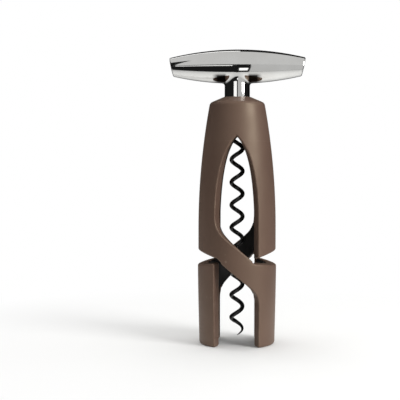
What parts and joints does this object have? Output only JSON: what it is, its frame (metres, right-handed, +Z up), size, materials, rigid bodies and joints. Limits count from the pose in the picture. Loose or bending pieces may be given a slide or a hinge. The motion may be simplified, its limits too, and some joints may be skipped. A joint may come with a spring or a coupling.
{
  "type": "corkscrew",
  "caption": "Table corkscrew with a T-handle and long worm that turn and lift in a frame of crossed arms, which flex to grip the neck of a bottle.",
  "frame": {"origin": "on the axis of the worm, in the plane of the feet", "axes": "+Z up along the worm towards the handle, X along the handle, the front of the frame faces -Y"},
  "size_m": [0.088, 0.051, 0.1901],
  "materials": {
    "brown_soft_plastic": "satin soft-touch",
    "black_plastic": "satin",
    "chrome": "chrome-plated and polished",
    "steel": "machined",
    "black_coating": "slippery satin coating"
  },
  "bodies": {
    "crown": {"crown_shell": "brown_soft_plastic", "crown_core": "black_plastic", "guide_bush": "black_plastic", "bush_ring": "steel", "core_screw_1": "steel", "core_screw_2": "steel", "core_screw_3": "steel"},
    "front_arm": {"front_arm_shell": "brown_soft_plastic", "front_arm_liner": "black_plastic"},
    "back_arm": {"back_arm_shell": "brown_soft_plastic", "back_arm_liner": "black_plastic"},
    "lift": {"thrust_washer": "steel"},
    "handle": {"handle_bar": "chrome", "handle_neck": "chrome", "tie_stud": "steel", "worm_socket": "steel", "worm": "black_coating"}
  },
  "joints": [
    {"name": "handle_lift", "type": "slide", "parent": "crown", "child": "lift", "axis": [0, 0, 1], "range_m": [0, 0.12]},
    {"name": "handle_turn", "type": "hinge", "parent": "lift", "child": "handle", "pos_m": [0, 0, 0.1796], "axis": [0, 0, 1], "continuous": true},
    {"name": "front_arm_flex", "type": "hinge", "parent": "crown", "child": "front_arm", "pos_m": [-0.014, 0, 0.131], "axis": [0, -1, 0], "range_deg": [-1, 1], "stiffness_Nm_per_rad": 150},
    {"name": "back_arm_flex", "type": "hinge", "parent": "crown", "child": "back_arm", "pos_m": [0.014, 0, 0.131], "axis": [0, 1, 0], "range_deg": [-1, 1], "stiffness_Nm_per_rad": 150}
  ]
}
